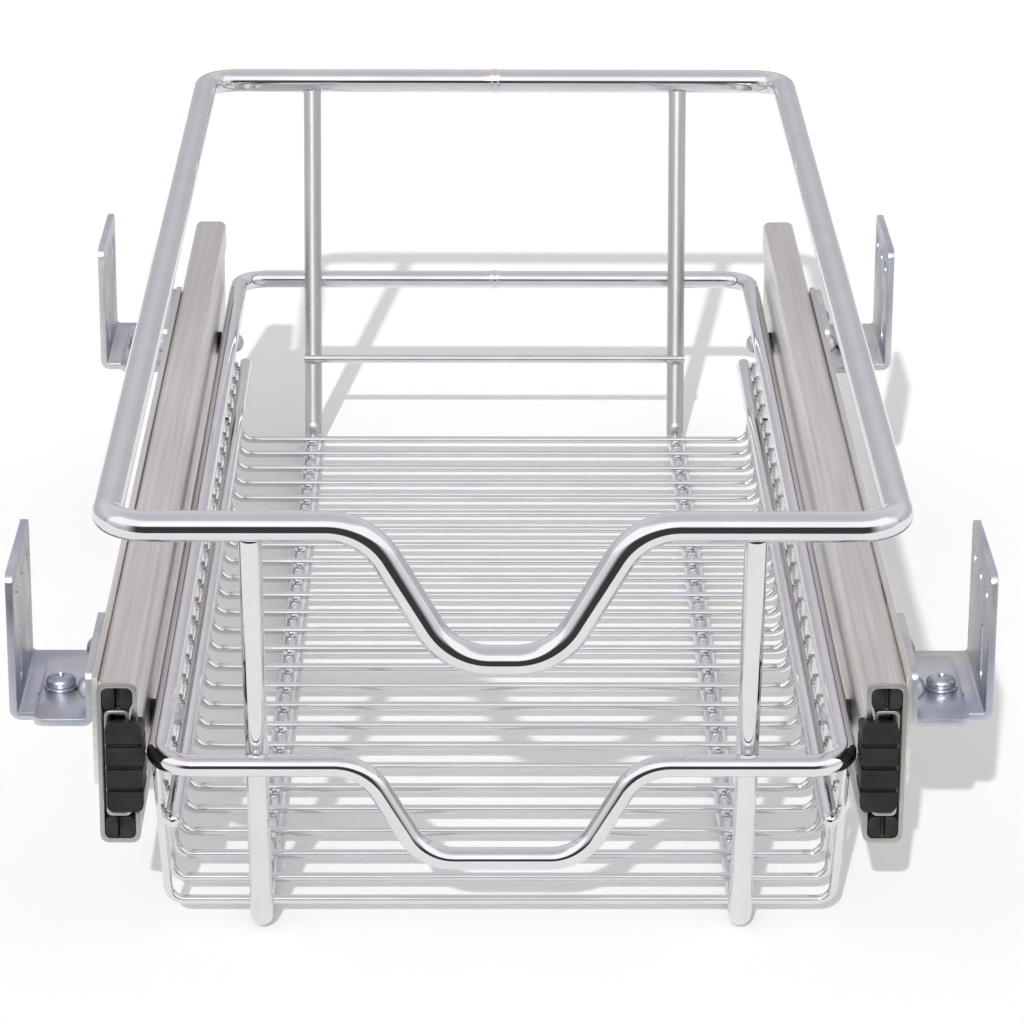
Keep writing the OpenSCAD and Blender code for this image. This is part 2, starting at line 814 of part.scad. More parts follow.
// A sheet bent to an L: a foot along X and an upright along Z, from the outer corner of its bend.
module bent_sheet(foot, rise) {
    bend_out = bracket_bend + bracket_t;
    translate([bend_out, 0, 0])
        foot_plate(0, foot - bend_out, bracket_l, bracket_t, plate_round);
    translate([bracket_t, 0, bend_out])
        rotate([0, -90, 0])
            foot_plate(0, rise - bend_out, bracket_l, bracket_t, plate_round);
    translate([bend_out, 0, bend_out])
        rotate([90, 0, 0])
            rotate([0, 0, 180])
                rotate_extrude(angle = 90)
                    translate([bracket_bend, -bracket_l / 2])
                        square([bracket_t, bracket_l]);
}

// The angle on a slide: an upright flange on the slide's back and a slotted foot outwards.
module slide_angle(y) {
    flange_h = angle_top_z - angle_z;
    color(zinc)
        translate([0, y, 0])
            difference() {
                translate([angle_x, 0, angle_z])
                    bent_sheet(angle_foot, flange_h);
                translate([screw_x - slot_shift, 0, angle_z - bracket_t])
                    slot_x(foot_slot_w, foot_slot_l, 3 * bracket_t);
                for (s = [-1, 1])
                    translate([angle_x - bracket_t, s * rivet_off, rivet_z])
                        rotate([0, 90, 0])
                            cylinder(d = rivet_d + 2 * hole_gap, h = 3 * bracket_t);
            }
}

// The wall bracket: a plate against the cabinet's side and a slotted foot under the angle's foot.
module wall_bracket(y)
    color(zinc)
        translate([0, y, bracket_z])
            difference() {
                translate([wall_x, wall_shift, 0])
                    mirror([1, 0, 0])
                        bent_sheet(wall_foot, wall_plate_h);
                translate([screw_x + slot_shift, 0, -bracket_t])
                    slot_x(foot_slot_w, foot_slot_l, 3 * bracket_t);
                for (i = [0 : wall_hole_count - 1])
                    translate([wall_x, wall_shift + (i - (wall_hole_count - 1) / 2) * wall_hole_pitch, 0])
                        translate([-2 * bracket_t, 0, wall_hole_up])
                            rotate([0, 90, 0])
                                cylinder(r = wall_hole_r, h = 3 * bracket_t);
                translate([wall_x - 2 * bracket_t, wall_shift - wall_slot_fore, wall_slot_up])
                    rotate([0, 90, 0])
                        slot_x(2 * wall_hole_r, wall_slot_l, 3 * bracket_t);
            }

module right_front_angle()
    slide_angle(-front_bracket_y);

module right_rear_angle()
    slide_angle(rear_bracket_y);

module left_front_angle()
    left_side()
        right_front_angle();

module left_rear_angle()
    left_side()
        right_rear_angle();

module right_front_wall_bracket()
    wall_bracket(-front_bracket_y);

module right_rear_wall_bracket()
    wall_bracket(rear_bracket_y);

module left_front_wall_bracket()
    left_side()
        right_front_wall_bracket();

module left_rear_wall_bracket()
    left_side()
        right_rear_wall_bracket();

// ---------- fasteners ----------

// Places a child at each of the four clamping screws, at a given height.
module at_screws(z)
    for (m = [0, 1], y = bracket_ys)
        mirror([m, 0, 0])
            translate([screw_x, y, z])
                children();

// Clamping screws: pan heads with a cross recess, over the washers.
module bracket_screws() {
    under = 2 * bracket_t + washer_t + nut_t + seat_gap;
    color(zinc)
        at_screws(screw_seat_z + washer_t)
            difference() {
                union() {
                    cylinder(d = screw_head_d, h = screw_head_h / 2);
                    translate([0, 0, screw_head_h / 2])
                        cylinder(d1 = screw_head_d, d2 = screw_head_d * 0.7, h = screw_head_h / 2);
                    translate([0, 0, -under])
                        cylinder(d = screw_d, h = under + seat_gap);
                }
                for (a = [0, 90])
                    rotate([0, 0, a])
                        translate([0, 0, screw_head_h])
                            cube([screw_head_d * 0.55, recess_w, screw_head_h], center = true);
            }
}

module bracket_washers()
    color(zinc)
        at_screws(screw_seat_z)
            difference() {
                cylinder(d = washer_d, h = washer_t);
                translate([0, 0, -washer_t])
                    cylinder(d = screw_d + 2 * hole_gap, h = 3 * washer_t);
            }

// Nuts under the wall brackets' feet.
module bracket_nuts()
    color(zinc)
        at_screws(bracket_z - nut_t)
            difference() {
                cylinder(d = nut_af / cos(30), h = nut_t, $fn = 6);
                translate([0, 0, -nut_t])
                    cylinder(d = screw_d + 2 * hole_gap, h = 3 * nut_t);
            }

// A rivet through the slide's outer side and the strip, and through t more, flush inside.
module side_rivet(y, t)
    translate([slide_out_x - cabinet_sheet, y, rivet_z])
        rotate([0, 90, 0]) {
            grip = cabinet_sheet + strip_t + t;
            cylinder(d = rivet_d, h = grip + rivet_head_h / 2);
            translate([0, 0, grip])
                cylinder(d1 = rivet_head_d, d2 = rivet_head_d * 0.7, h = rivet_head_h);
        }

module bracket_rivets()
    color(zinc)
        for (m = [0, 1], y = bracket_ys, s = [-1, 1])
            mirror([m, 0, 0])
                side_rivet(y + s * rivet_off, bracket_t);

module strip_rivets()
    color(zinc)
        for (m = [0, 1])
            mirror([m, 0, 0])
                side_rivet(-strip_rivet_y, 0);

upper_rail();
lower_ring();
left_runner();
right_runner();
rear_cross_wire();
front_end_wire();
floor_wires();
left_side_bar();
right_side_bar();
left_slide_tabs();
right_slide_tabs();
tab_spacers();
tab_rivets();
left_drawer_member();
right_drawer_member();
left_bumper();
right_bumper();
left_middle_member();
right_middle_member();
left_outer_cages();
right_outer_cages();
left_outer_balls();
right_outer_balls();
left_inner_cages();
right_inner_cages();
left_inner_balls();
right_inner_balls();
left_cabinet_member();
right_cabinet_member();
left_front_guides();
right_front_guides();
left_rear_stop();
right_rear_stop();
left_mount_strip();
right_mount_strip();
strip_rivets();
left_front_angle();
left_rear_angle();
right_front_angle();
right_rear_angle();
left_front_wall_bracket();
left_rear_wall_bracket();
right_front_wall_bracket();
right_rear_wall_bracket();
bracket_rivets();
bracket_screws();
bracket_washers();
bracket_nuts();
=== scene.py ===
import json
import math

import bmesh
import bpy
from mathutils import Matrix, Vector


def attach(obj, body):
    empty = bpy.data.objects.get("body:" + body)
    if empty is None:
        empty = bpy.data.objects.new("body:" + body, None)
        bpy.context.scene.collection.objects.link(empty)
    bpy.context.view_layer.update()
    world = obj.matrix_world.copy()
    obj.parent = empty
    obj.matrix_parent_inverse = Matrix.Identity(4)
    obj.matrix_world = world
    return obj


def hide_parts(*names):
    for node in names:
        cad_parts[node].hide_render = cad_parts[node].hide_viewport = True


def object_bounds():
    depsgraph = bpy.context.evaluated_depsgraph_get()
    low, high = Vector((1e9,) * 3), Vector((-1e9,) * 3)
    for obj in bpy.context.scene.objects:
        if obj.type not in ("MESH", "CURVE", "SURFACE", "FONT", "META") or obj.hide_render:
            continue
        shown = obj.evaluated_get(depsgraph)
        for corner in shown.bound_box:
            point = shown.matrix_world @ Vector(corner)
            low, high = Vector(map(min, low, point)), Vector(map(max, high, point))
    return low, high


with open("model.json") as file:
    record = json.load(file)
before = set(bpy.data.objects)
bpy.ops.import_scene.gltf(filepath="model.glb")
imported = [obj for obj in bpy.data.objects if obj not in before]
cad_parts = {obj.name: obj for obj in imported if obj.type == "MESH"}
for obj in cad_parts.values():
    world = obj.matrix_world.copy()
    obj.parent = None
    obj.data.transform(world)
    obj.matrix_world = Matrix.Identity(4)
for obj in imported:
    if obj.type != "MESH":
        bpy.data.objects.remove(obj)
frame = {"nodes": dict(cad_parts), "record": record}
cad_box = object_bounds()
nodes = frame["nodes"]

# ---------------------------------------------------------------- sizes, in millimetres and degrees

MM = 0.001
SIDES = ((-1, "left"), (1, "right"))

# Upper rail: a ring of rod with a hand dip in its front, measured between rod centres
rail_w = 202
rail_depth = 454
rail_z = 125.5
rail_d = 8
rail_corner_r = 11
rail_dip_flat = 6.4
rail_dip_drop = 36.5
rail_dip_r = 18
rail_dip_slope = 60

# Lower ring, the same way
ring_w = 180.6
ring_z = 55.6
ring_d = 6
ring_corner_r = 10
ring_dip_flat = 25
ring_dip_drop = 26.5
ring_dip_r = 14
ring_dip_slope = 60

# Runners, and the thin cross wire between their rear uprights
runner_gap = 128.4
runner_depth = 400
runner_d = 6
runner_bend_r = 6
runner_end_in = 0.6
cross_z = 31
cross_d = 3
cross_over = 3

# Floor wires and side bars
floor_d = 2.5
floor_pitch = 15.2
floor_count = 25
floor_start = 181.4
floor_in = 1.1
floor_bend_r = 4.5
floor_lean = 3.6
bar_z = 33
bar_d = 5
tip_over = 2.4
bar_over = 7

# Slides and their balls
slide_l = 430
slide_h = 45
slide_t = 10.6
slide_drop = 0.6
slide_gap = 1.5
cabinet_sheet = 1.2
inner_sheet = 1
outer_track_t = 6.4
inner_track_t = 3.3
middle_in = 2.2
drawer_in = 0.4
slide_run = 0.6
cage_l = 190
ball_gap = 0.2
ball_count = 9

# Tabs under the lower ring, with their rivets and spacers
tab_y = 165
tab_t = 2
tab_hole_drop = 7
tab_rivet_d = 4
tab_head_d = 6.4
tab_tail_over = 0.4
tab_tail_rim = 0.6
spacer_d = 7.6

# Strips and brackets on the slides' outer sides
strip_t = 1.6
strip_rivet_in = 59
side_space = 23
front_bracket_in = 31
rear_bracket_in = 101
bracket_t = 2
bracket_rise = 5
screw_in = 12.5
rivet_off = 14
rivet_drop = 8

# Fasteners
screw_d = 4
screw_head_d = 8
screw_head_h = 2.8
screw_over = 0.1
screw_bevel = 0.5
head_bevel = 0.2
recess_l = 4.6
recess_w = 1.1
recess_deep = 1.2
recess_taper = 0.55
washer_d = 9
washer_t = 0.8
nut_af = 7
nut_t = 3.2
nut_bevel = 0.45
nut_hole_bevel = 0.3
rivet_d = 4
rivet_head_d = 6.6
rivet_head_h = 2.8
hole_gap = 0.2
round_sides = 40
rivet_sides = 32

# Welds: how deep wires sink into each other, the rings' seams, and the beads' places beside the wires
weld_sink = 0.25
seam_l = 2.4
seam_reach = 2.2
bead_r = 1
bead_flat = 0.7
floor_bead_aside = 1.15
bar_bead_aside = 1.1
bar_bead_in = 0.1
rail_bead_aside = 2.4
rail_bead_under = 0.3
rail_bead_out = 0.4
rail_bead_up = 0.15
ring_bead_aside = 1.7
ring_bead_in = 0.2

# Runners: the uprights lean outwards from the bottom to the middle of the upper rail's bars
runner_x = runner_gap / 2
runner_z = runner_d / 2
upright_rise = rail_z - runner_z
upright_out = (rail_depth - runner_depth) / 2
upright_lean = math.degrees(math.atan(upright_out / upright_rise))
lean_tan = math.tan(math.radians(upright_lean))
lean_cos = math.cos(math.radians(upright_lean))


def upright_y(z):
    """How far an upright's centre is from the basket's middle, front to back, at a height."""
    return runner_depth / 2 + (z - runner_z) * lean_tan


# The lower ring goes round the outside of the uprights, and the cross wire inside the rear ones
ring_depth = 2 * (upright_y(ring_z) + (runner_d + ring_d) / 2 / lean_cos - weld_sink)
cross_y = upright_y(cross_z) - (runner_d + cross_d) / 2 / lean_cos + weld_sink

# Floor wires lie on the runners, and their raised ends lean outwards past the side bars
floor_half = ring_w / 2 - floor_in
floor_z = runner_d + floor_d / 2 - weld_sink
floor_tan = math.tan(math.radians(floor_lean))
floor_cos = math.cos(math.radians(floor_lean))
floor_ys = [-floor_start + i * floor_pitch for i in range(floor_count)]
tip_z = bar_z + tip_over
bar_x = floor_half + (bar_z - floor_z) * floor_tan - (bar_d + floor_d) / 2 / floor_cos + weld_sink

# The front end wire nests in the runners' front bends, half way up their inner curve
bend_mid = math.radians((90 - upright_lean) / 2)
bend_inset = runner_bend_r * math.tan(bend_mid)
nest_r = runner_bend_r - (runner_d + floor_d) / 2 + weld_sink
end_wire_y = -(runner_depth / 2 - bend_inset + nest_r * math.sin(bend_mid))
end_wire_z = runner_z + runner_bend_r - nest_r * math.cos(bend_mid)
end_wire_tip_z = ring_z - ring_d / 2 - floor_d / 4

# Slides, from their open face next to the basket to the cabinet's side
slide_x = ring_w / 2 + ring_d / 2 + slide_gap
slide_z = ring_z - slide_drop
slide_out_x = slide_x + slide_t
middle_h = slide_h - 2 * cabinet_sheet - 2 * outer_track_t
drawer_h = middle_h - 2 * inner_sheet - 2 * inner_track_t
middle_out = slide_t - cabinet_sheet - slide_run
outer_track_z = (middle_h / 2 + slide_h / 2 - cabinet_sheet) / 2
inner_track_z = (drawer_h / 2 + middle_h / 2 - inner_sheet) / 2
tab_x = ring_w / 2
tab_hole_z = ring_z - tab_hole_drop
drawer_web_x = slide_x + drawer_in

# Brackets, at the same places on both sides
bracket_ys = (front_bracket_in - slide_l / 2, slide_l / 2 - rear_bracket_in)
strip_rivet_y = strip_rivet_in - slide_l / 2
bracket_z = slide_z + bracket_rise
screw_x = slide_out_x + strip_t + side_space - screw_in
screw_seat_z = bracket_z + 2 * bracket_t
rivet_z = slide_z + slide_h / 2 - rivet_drop


# ---------------------------------------------------------------- parts of node trees

def cleared(data):
    """The node tree of a new material or world, with nothing in it."""
    data.use_nodes = True
    data.node_tree.nodes.clear()
    return data.node_tree


def pattern(tree, scale, detail, stretch=(1, 1, 1)):
    """A noise pattern fixed to the piece, stretched along its axes."""
    place = tree.nodes.new("ShaderNodeTexCoord")
    spread = tree.nodes.new("ShaderNodeMapping")
    spread.inputs["Scale"].default_value = stretch
    grain = tree.nodes.new("ShaderNodeTexNoise")
    grain.inputs["Scale"].default_value = scale
    grain.inputs["Detail"].default_value = detail
    tree.links.new(place.outputs["Object"], spread.inputs["Vector"])
    tree.links.new(spread.outputs["Vector"], grain.inputs["Vector"])
    return grain.outputs["Fac"]


def along(tree, axis):
    """The piece's own coordinate along an axis, in metres."""
    place = tree.nodes.new("ShaderNodeTexCoord")
    split = tree.nodes.new("ShaderNodeSeparateXYZ")
    tree.links.new(place.outputs["Object"], split.inputs["Vector"])
    return split.outputs[axis]


def ramp(tree, value, *stops):
    """A colour that goes from stop to stop as the value rises. A stop is a value and its colour."""
    r = tree.nodes.new("ShaderNodeValToRGB")
    points = r.color_ramp.elements
    while len(points) > 1:
        points.remove(points[-1])
    for i, (at, colour) in enumerate(stops):
        point = points[0] if i == 0 else points.new(at)
        point.position = at
        point.color = (*colour, 1)
    tree.links.new(value, r.inputs["Fac"])
    return r.outputs["Color"]


def remap(tree, value, span, to=(0, 1)):
    """The value, with the ends of its span moved to two new ones, past which it doesn't go."""
    m = tree.nodes.new("ShaderNodeMapRange")
    for end, number in zip(("From Min", "From Max", "To Min", "To Max"), (*span, *to)):
        m.inputs[end].default_value = number
    tree.links.new(value, m.inputs["Value"])
    return m.outputs["Result"]


def worked(tree, operation, *terms):
    """The outcome of one operation on sockets and plain numbers."""
    m = tree.nodes.new("ShaderNodeMath")
    m.operation = operation
    for place, term in zip(m.inputs, terms):
        if isinstance(term, (int, float)):
            place.default_value = term
        else:
            tree.links.new(term, place)
    return m.outputs["Value"]


def mixed(tree, share, first, second):
    """The first colour where the share is 0, and the second, a socket or plain colour, where it is 1."""
    mix = tree.nodes.new("ShaderNodeMix")
    mix.data_type = "RGBA"
    colours = [s for s in mix.inputs if s.type == "RGBA"]
    tree.links.new(share, mix.inputs["Factor"])
    tree.links.new(first, colours[0])
    if isinstance(second, tuple):
        colours[1].default_value = (*second, 1)
    else:
        tree.links.new(second, colours[1])
    return [s for s in mix.outputs if s.type == "RGBA"][0]


def either(tree, share, first, second):
    """The first shader where the share is 0, and the second where it is 1."""
    mix = tree.nodes.new("ShaderNodeMixShader")
    tree.links.new(share, mix.inputs["Fac"])
    tree.links.new(first, mix.inputs[1])
    tree.links.new(second, mix.inputs[2])
    return mix.outputs["Shader"]


# ---------------------------------------------------------------- materials

# Most of a noise pattern lies between these two values
NOISE_SPAN = (0.3, 0.7)


def new_material(name, metal=False):
    """A material with one skin shader, and the tree that it is built in."""
    m = bpy.data.materials.new(name)
    tree = cleared(m)
    out = tree.nodes.new("ShaderNodeOutputMaterial")
    skin = tree.nodes.new("ShaderNodeBsdfPrincipled")
    skin.inputs["Metallic"].default_value = 1.0 if metal else 0.0
    tree.links.new(skin.outputs["BSDF"], out.inputs["Surface"])
    return m, tree, skin


def raised(tree, skin, height, strength, distance):
    """Lets the height, times a distance in metres, stand out of the skin."""
    b = tree.nodes.new("ShaderNodeBump")
    b.inputs["Strength"].default_value = strength
    b.inputs["Distance"].default_value = distance
    tree.links.new(height, b.inputs["Height"])
    tree.links.new(b.outputs["Normal"], skin.inputs["Normal"])


def plated_chrome(name="plated_chrome", rough_and_shaded_rear=0.0):
    """Bright plate with a faint haze. With a rough and shaded rear it is rougher from the rear bend on, and
    painted greyer there: the grey is painted shade, standing in for the darker reflections on the rear
    uprights.
    """
    # The grey rear plate is painted shade, standing in for darker reflections; the added roughness is real.
    painted_shade_plate, rough_and_shaded_start, rough_and_shaded_full = (0.52, 0.515, 0.525), 12, 2
    m, tree, skin = new_material(name, metal=True)
    haze = pattern(tree, 60, detail=5)
    plate = ramp(tree, haze, (0.3, (0.75, 0.735, 0.76)), (0.7, (0.80, 0.79, 0.81)))
    rough = remap(tree, haze, NOISE_SPAN, to=(0.035, 0.08))
    if rough_and_shaded_rear:
        y = along(tree, "Y")
        rear = [(runner_depth / 2 - ahead) * MM for ahead in (rough_and_shaded_start, rough_and_shaded_full)]
        # Painted shade: the plate goes greyer from the rear bend on.
        plate = mixed(tree, remap(tree, y, rear), plate, painted_shade_plate)
        rough = worked(tree, "ADD", rough, remap(tree, y, rear, to=(0, rough_and_shaded_rear)))
    tree.links.new(plate, skin.inputs["Base Color"])
    tree.links.new(rough, skin.inputs["Roughness"])
    raised(tree, skin, pattern(tree, 55, detail=2), strength=0.10, distance=0.0006)
    return m


def galvanised():
    """Strip steel with rolling lines and cloudy zinc, and a darker cut end at the slides' fronts."""
    cut_steel, cut_start, cut_full, cut_share, cloud_share = (0.36, 0.35, 0.34), 0.8, 0.5, 0.75, 0.6
    m, tree, skin = new_material("galvanised_strip", metal=True)
    lines = pattern(tree, 900, detail=4, stretch=(1, 0.012, 1))
    cloud = pattern(tree, 60, detail=5, stretch=(1, 0.12, 1))
    both = tree.nodes.new("ShaderNodeMix")
    both.data_type = "FLOAT"
    both.inputs["Factor"].default_value = cloud_share
    tree.links.new(lines, both.inputs["A"])
    tree.links.new(cloud, both.inputs["B"])
    tone = both.outputs["Result"]
    sheet = ramp(tree, tone, (0.32, (0.60, 0.58, 0.545)), (0.48, (0.74, 0.72, 0.68)),
                 (0.62, (0.86, 0.85, 0.82)))
    front = [(behind - slide_l / 2) * MM for behind in (cut_start, cut_full)]
    cut = remap(tree, along(tree, "Y"), front, to=(0, cut_share))
    tree.links.new(mixed(tree, cut, sheet, cut_steel), skin.inputs["Base Color"])
    tree.links.new(remap(tree, tone, NOISE_SPAN, to=(0.44, 0.32)), skin.inputs["Roughness"])
    raised(tree, skin, lines, strength=0.08, distance=0.0003)
    return m


def zinc_plate():
    """Bright zinc with a faint tint in patches, and fine lines in its surface."""
    m, tree, skin = new_material("bright_zinc", metal=True)
    cloud = pattern(tree, 70, detail=6)
    tint = ramp(tree, pattern(tree, 34, detail=3), (0.34, (0.46, 0.49, 0.57)),
                (0.5, (0.58, 0.60, 0.65)), (0.64, (0.70, 0.68, 0.67)))
    tree.links.new(tint, skin.inputs["Base Color"])
    tree.links.new(remap(tree, cloud, NOISE_SPAN, to=(0.28, 0.46)), skin.inputs["Roughness"])
    raised(tree, skin, pattern(tree, 700, detail=3, stretch=(1, 0.2, 1)), strength=0.08, distance=0.0002)
    return m


def moulded_plastic():
    """Black plastic with a fine grain and uneven gloss."""
    m, tree, skin = new_material("black_moulding")
    cloud = pattern(tree, 180, detail=4)
    black = ramp(tree, cloud, (0.35, (0.005, 0.005, 0.005)), (0.7, (0.022, 0.021, 0.020)))
    tree.links.new(black, skin.inputs["Base Color"])
    skin.inputs["Specular IOR Level"].default_value = 0.35
    tree.links.new(remap(tree, cloud, NOISE_SPAN, to=(0.38, 0.55)), skin.inputs["Roughness"])
    raised(tree, skin, pattern(tree, 1500, detail=2), strength=0.15, distance=0.0002)
    return m


def bumper_rubber():
    """Black rubber, duller than the plastic."""
    m, tree, skin = new_material("bumper_rubber")
    cloud = pattern(tree, 120, detail=4)
    black = ramp(tree, cloud, (0.35, (0.006, 0.006, 0.007)), (0.7, (0.018, 0.018, 0.020)))
    tree.links.new(black, skin.inputs["Base Color"])
    skin.inputs["Specular IOR Level"].default_value = 0.3
    skin.inputs["Roughness"].default_value = 0.52
    raised(tree, skin, pattern(tree, 900, detail=3), strength=0.25, distance=0.0003)
    return m


def ball_bearing_steel():
    """Polished steel."""
    m, tree, skin = new_material("ball_steel", metal=True)
    haze = pattern(tree, 300, detail=2)
    steel = ramp(tree, haze, (0.3, (0.5, 0.5, 0.5)), (0.7, (0.62, 0.62, 0.62)))
    tree.links.new(steel, skin.inputs["Base Color"])
    skin.inputs["Roughness"].default_value = 0.12
    return m


# Chrome for the runners: rougher at the rear, and greyer there as painted shade.
CHROME_ROUGH_AND_SHADED_REAR = plated_chrome("plated_chrome_dull_rear", 0.36)
FINISH = {
    "chrome": plated_chrome(),
    "slide_steel": galvanised(),
    "zinc": zinc_plate(),
    "black_plastic": moulded_plastic(),
    "dark_rubber": bumper_rubber(),
    "ball_steel": ball_bearing_steel(),
}
slot_of = {s["node"]: s["material_slot"] for s in frame["record"]["subparts"]}
body_of = {n: b for b, names in frame["record"]["behaviour"]["bodies"].items() for n in names}


# ---------------------------------------------------------------- pieces

def in_scene(name, data):
    """A new object in the scene."""
    obj = bpy.data.objects.new(name, data)
    bpy.context.scene.collection.objects.link(obj)
    return obj


def with_modifiers(obj):
    """A plain mesh of the object as its modifiers leave it."""
    bpy.context.view_layer.update()
    depsgraph = bpy.context.evaluated_depsgraph_get()
    return bpy.data.meshes.new_from_object(obj.evaluated_get(depsgraph))


def shaded(bm, mesh, crease):
    """Writes the shape to a mesh: smooth, but for the edges that turn more than the crease angle."""
    bm.normal_update()
    for f in bm.faces:
        f.smooth = True
    for e in bm.edges:
        e.smooth = not (len(e.link_faces) == 2 and e.calc_face_angle(0) > math.radians(crease))
    bm.to_mesh(mesh)
    bm.free()
    return mesh


def piece(name, mesh, body, slot, replaces=()):
    """A finished piece that rides on its body, and stands for the CAD nodes that it replaces."""
    mesh.name = name
    if not mesh.materials:
        mesh.materials.append(FINISH[slot])
    obj = in_scene(name, mesh)
    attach(obj, body)
    if replaces:
        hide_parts(*replaces)


def softened(node, width, segments=2):
    """A copy of a CAD node with its edges rounded, which stands in the node's place."""
    merge_gap, flat_turn, edge_turn, crease = 2e-6, 1.0, 40, 32
    bm = bmesh.new()
    bm.from_mesh(nodes[node].data)
    bmesh.ops.remove_doubles(bm, verts=bm.verts, dist=merge_gap)
    bmesh.ops.dissolve_limit(bm, angle_limit=math.radians(flat_turn), verts=bm.verts, edges=bm.edges)
    mesh = bpy.data.meshes.new(node + "_soft")
    bm.to_mesh(mesh)
    bm.free()
    work = in_scene(node + "_work", mesh)
    edge = work.modifiers.new("edge", "BEVEL")
    edge.width = width * MM
    edge.segments = segments
    edge.limit_method = "ANGLE"
    edge.angle_limit = math.radians(edge_turn)
    edge.use_clamp_overlap = True
    made = with_modifiers(work)
    bpy.data.objects.remove(work)
    made.materials.clear()
    bm = bmesh.new()
    bm.from_mesh(made)
    piece(node + "_finished", shaded(bm, made, crease), body_of[node], slot_of[node], (node,))


# ---------------------------------------------------------------- what grows from points and edges

def new_tree(name, result, sockets):
    """A geometry tree with its named inputs, its one result, and both ends of it in place."""
    tree = bpy.data.node_groups.new(name, "GeometryNodeTree")
    for label, kind, value in sockets:
        s = tree.interface.new_socket(name=label, in_out="INPUT", socket_type="NodeSocket" + kind)
        if value is not None:
            s.default_value = value
    tree.interface.new_socket(name=result, in_out="OUTPUT", socket_type="NodeSocketGeometry")
    return tree, tree.nodes.new("NodeGroupInput"), tree.nodes.new("NodeGroupOutput")


def kept_at_points(tree, name, kind):
    """What the seed mesh keeps at each of its points under this name."""
    kept = tree.nodes.new("GeometryNodeInputNamedAttribute")
    kept.data_type = kind
    kept.inputs["Name"].default_value = name
    return kept.outputs["Attribute"]


def finished(tree, geometry, finish, result):
    """Ends a tree: copies are made real, and everything gets its finish."""
    real = tree.nodes.new("GeometryNodeRealizeInstances")
    paint = tree.nodes.new("GeometryNodeSetMaterial")
    tree.links.new(geometry, real.inputs["Geometry"])
    tree.links.new(real.outputs["Geometry"], paint.inputs["Geometry"])
    tree.links.new(finish, paint.inputs["Material"])
    tree.links.new(paint.outputs["Geometry"], result)
    return tree


def wire_tree():
    """A round wire along a route of edges, with its share of the thickness read from each point."""
    tree, given, out = new_tree("wire_on_route", "Wire", [
        ("Route", "Geometry", None), ("Wire radius", "Float", 0.003), ("Sides", "Int", 24),
        ("Finish", "Material", None)])
    new, link = tree.nodes.new, tree.links.new
    line = new("GeometryNodeMeshToCurve")
    ring = new("GeometryNodeCurvePrimitiveCircle")
    tube = new("GeometryNodeCurveToMesh")
    smooth = new("GeometryNodeSetShadeSmooth")
    tube.inputs["Fill Caps"].default_value = True
    link(given.outputs["Route"], line.inputs["Mesh"])
    link(given.outputs["Sides"], ring.inputs["Resolution"])
    link(given.outputs["Wire radius"], ring.inputs["Radius"])
    link(line.outputs["Curve"], tube.inputs["Curve"])
    link(ring.outputs["Curve"], tube.inputs["Profile Curve"])
    link(kept_at_points(tree, "share", "FLOAT"), tube.inputs["Scale"])
    link(tube.outputs["Mesh"], smooth.inputs["Geometry"])
    return finished(tree, smooth.outputs["Geometry"], given.outputs["Finish"], out.inputs["Wire"])


def repeat_tree():
    """One piece, set at each point of a mesh of places and turned by the point's own turn."""
    tree, given, out = new_tree("piece_at_places", "Pieces", [
        ("Places", "Geometry", None), ("Piece", "Object", None), ("Size change", "Float", 0.0),
        ("Seed", "Int", 7), ("Finish", "Material", None)])
    new, link = tree.nodes.new, tree.links.new
    fetch = new("GeometryNodeObjectInfo")
    put = new("GeometryNodeInstanceOnPoints")
    euler = new("FunctionNodeEulerToRotation")
    chance = new("FunctionNodeRandomValue")
    least, most = [s for s in chance.inputs if s.type == "VALUE"][:2]
    drawn = [s for s in chance.outputs if s.type == "VALUE"][0]
    link(given.outputs["Piece"], fetch.inputs["Object"])
    link(given.outputs["Places"], put.inputs["Points"])
    link(fetch.outputs["Geometry"], put.inputs["Instance"])
    link(kept_at_points(tree, "turn", "FLOAT_VECTOR"), euler.inputs["Euler"])
    link(euler.outputs["Rotation"], put.inputs["Rotation"])
    link(worked(tree, "SUBTRACT", 1.0, given.outputs["Size change"]), least)
    link(worked(tree, "ADD", 1.0, given.outputs["Size change"]), most)
    link(given.outputs["Seed"], chance.inputs["Seed"])
    link(drawn, put.inputs["Scale"])
    return finished(tree, put.outputs["Instances"], given.outputs["Finish"], out.inputs["Pieces"])


WIRE, REPEAT = wire_tree(), repeat_tree()


def seed_mesh(name, points, edges, label, kind, numbers):
    """An object of points and edges, with numbers or vectors kept at the points under a label."""
    mesh = bpy.data.meshes.new(name + "_seed")
    mesh.from_pydata([tuple(p * MM for p in q) for q in points], edges, [])
    layer = mesh.attributes.new(label, kind, "POINT")
    layer.data.foreach_set("value" if kind == "FLOAT" else "vector", numbers)
    return in_scene(name + "_seed", mesh)


def grown(seed, tree, values):
    """Runs a tree on a seed with these values at its named inputs, and leaves a plain mesh."""
    modifier = seed.modifiers.new("grow", "NODES")
    modifier.node_group = tree
    for s in tree.interface.items_tree:
        if s.item_type == "SOCKET" and s.in_out == "INPUT" and s.name in values:
            modifier[s.identifier] = values[s.name]
    made = with_modifiers(seed)
    bpy.data.objects.remove(seed)
    return made


def wires(name, node, routes, d, sides, closed=False, shares=None, finish=FINISH["chrome"]):
    """Round wires along their routes, which stand in a CAD node's place.

    Shares give the wire's thickness at each point of a route, as parts of its diameter."""
    points, edges, share = [], [], []
    for k, route in enumerate(routes):
        first, last = len(points), len(points) + len(route) - 1
        points += [tuple(p) for p in route]
        edges += [(i, i + 1) for i in range(first, last)]
        if closed:
            edges.append((last, first))
        share += shares[k] if shares else [1.0] * len(route)
    seed = seed_mesh(name, points, edges, "share", "FLOAT", share)
    made = grown(seed, WIRE, {"Wire radius": d / 2 * MM, "Sides": sides, "Finish": finish})
    piece(name, made, body_of[node], "chrome", (node,))


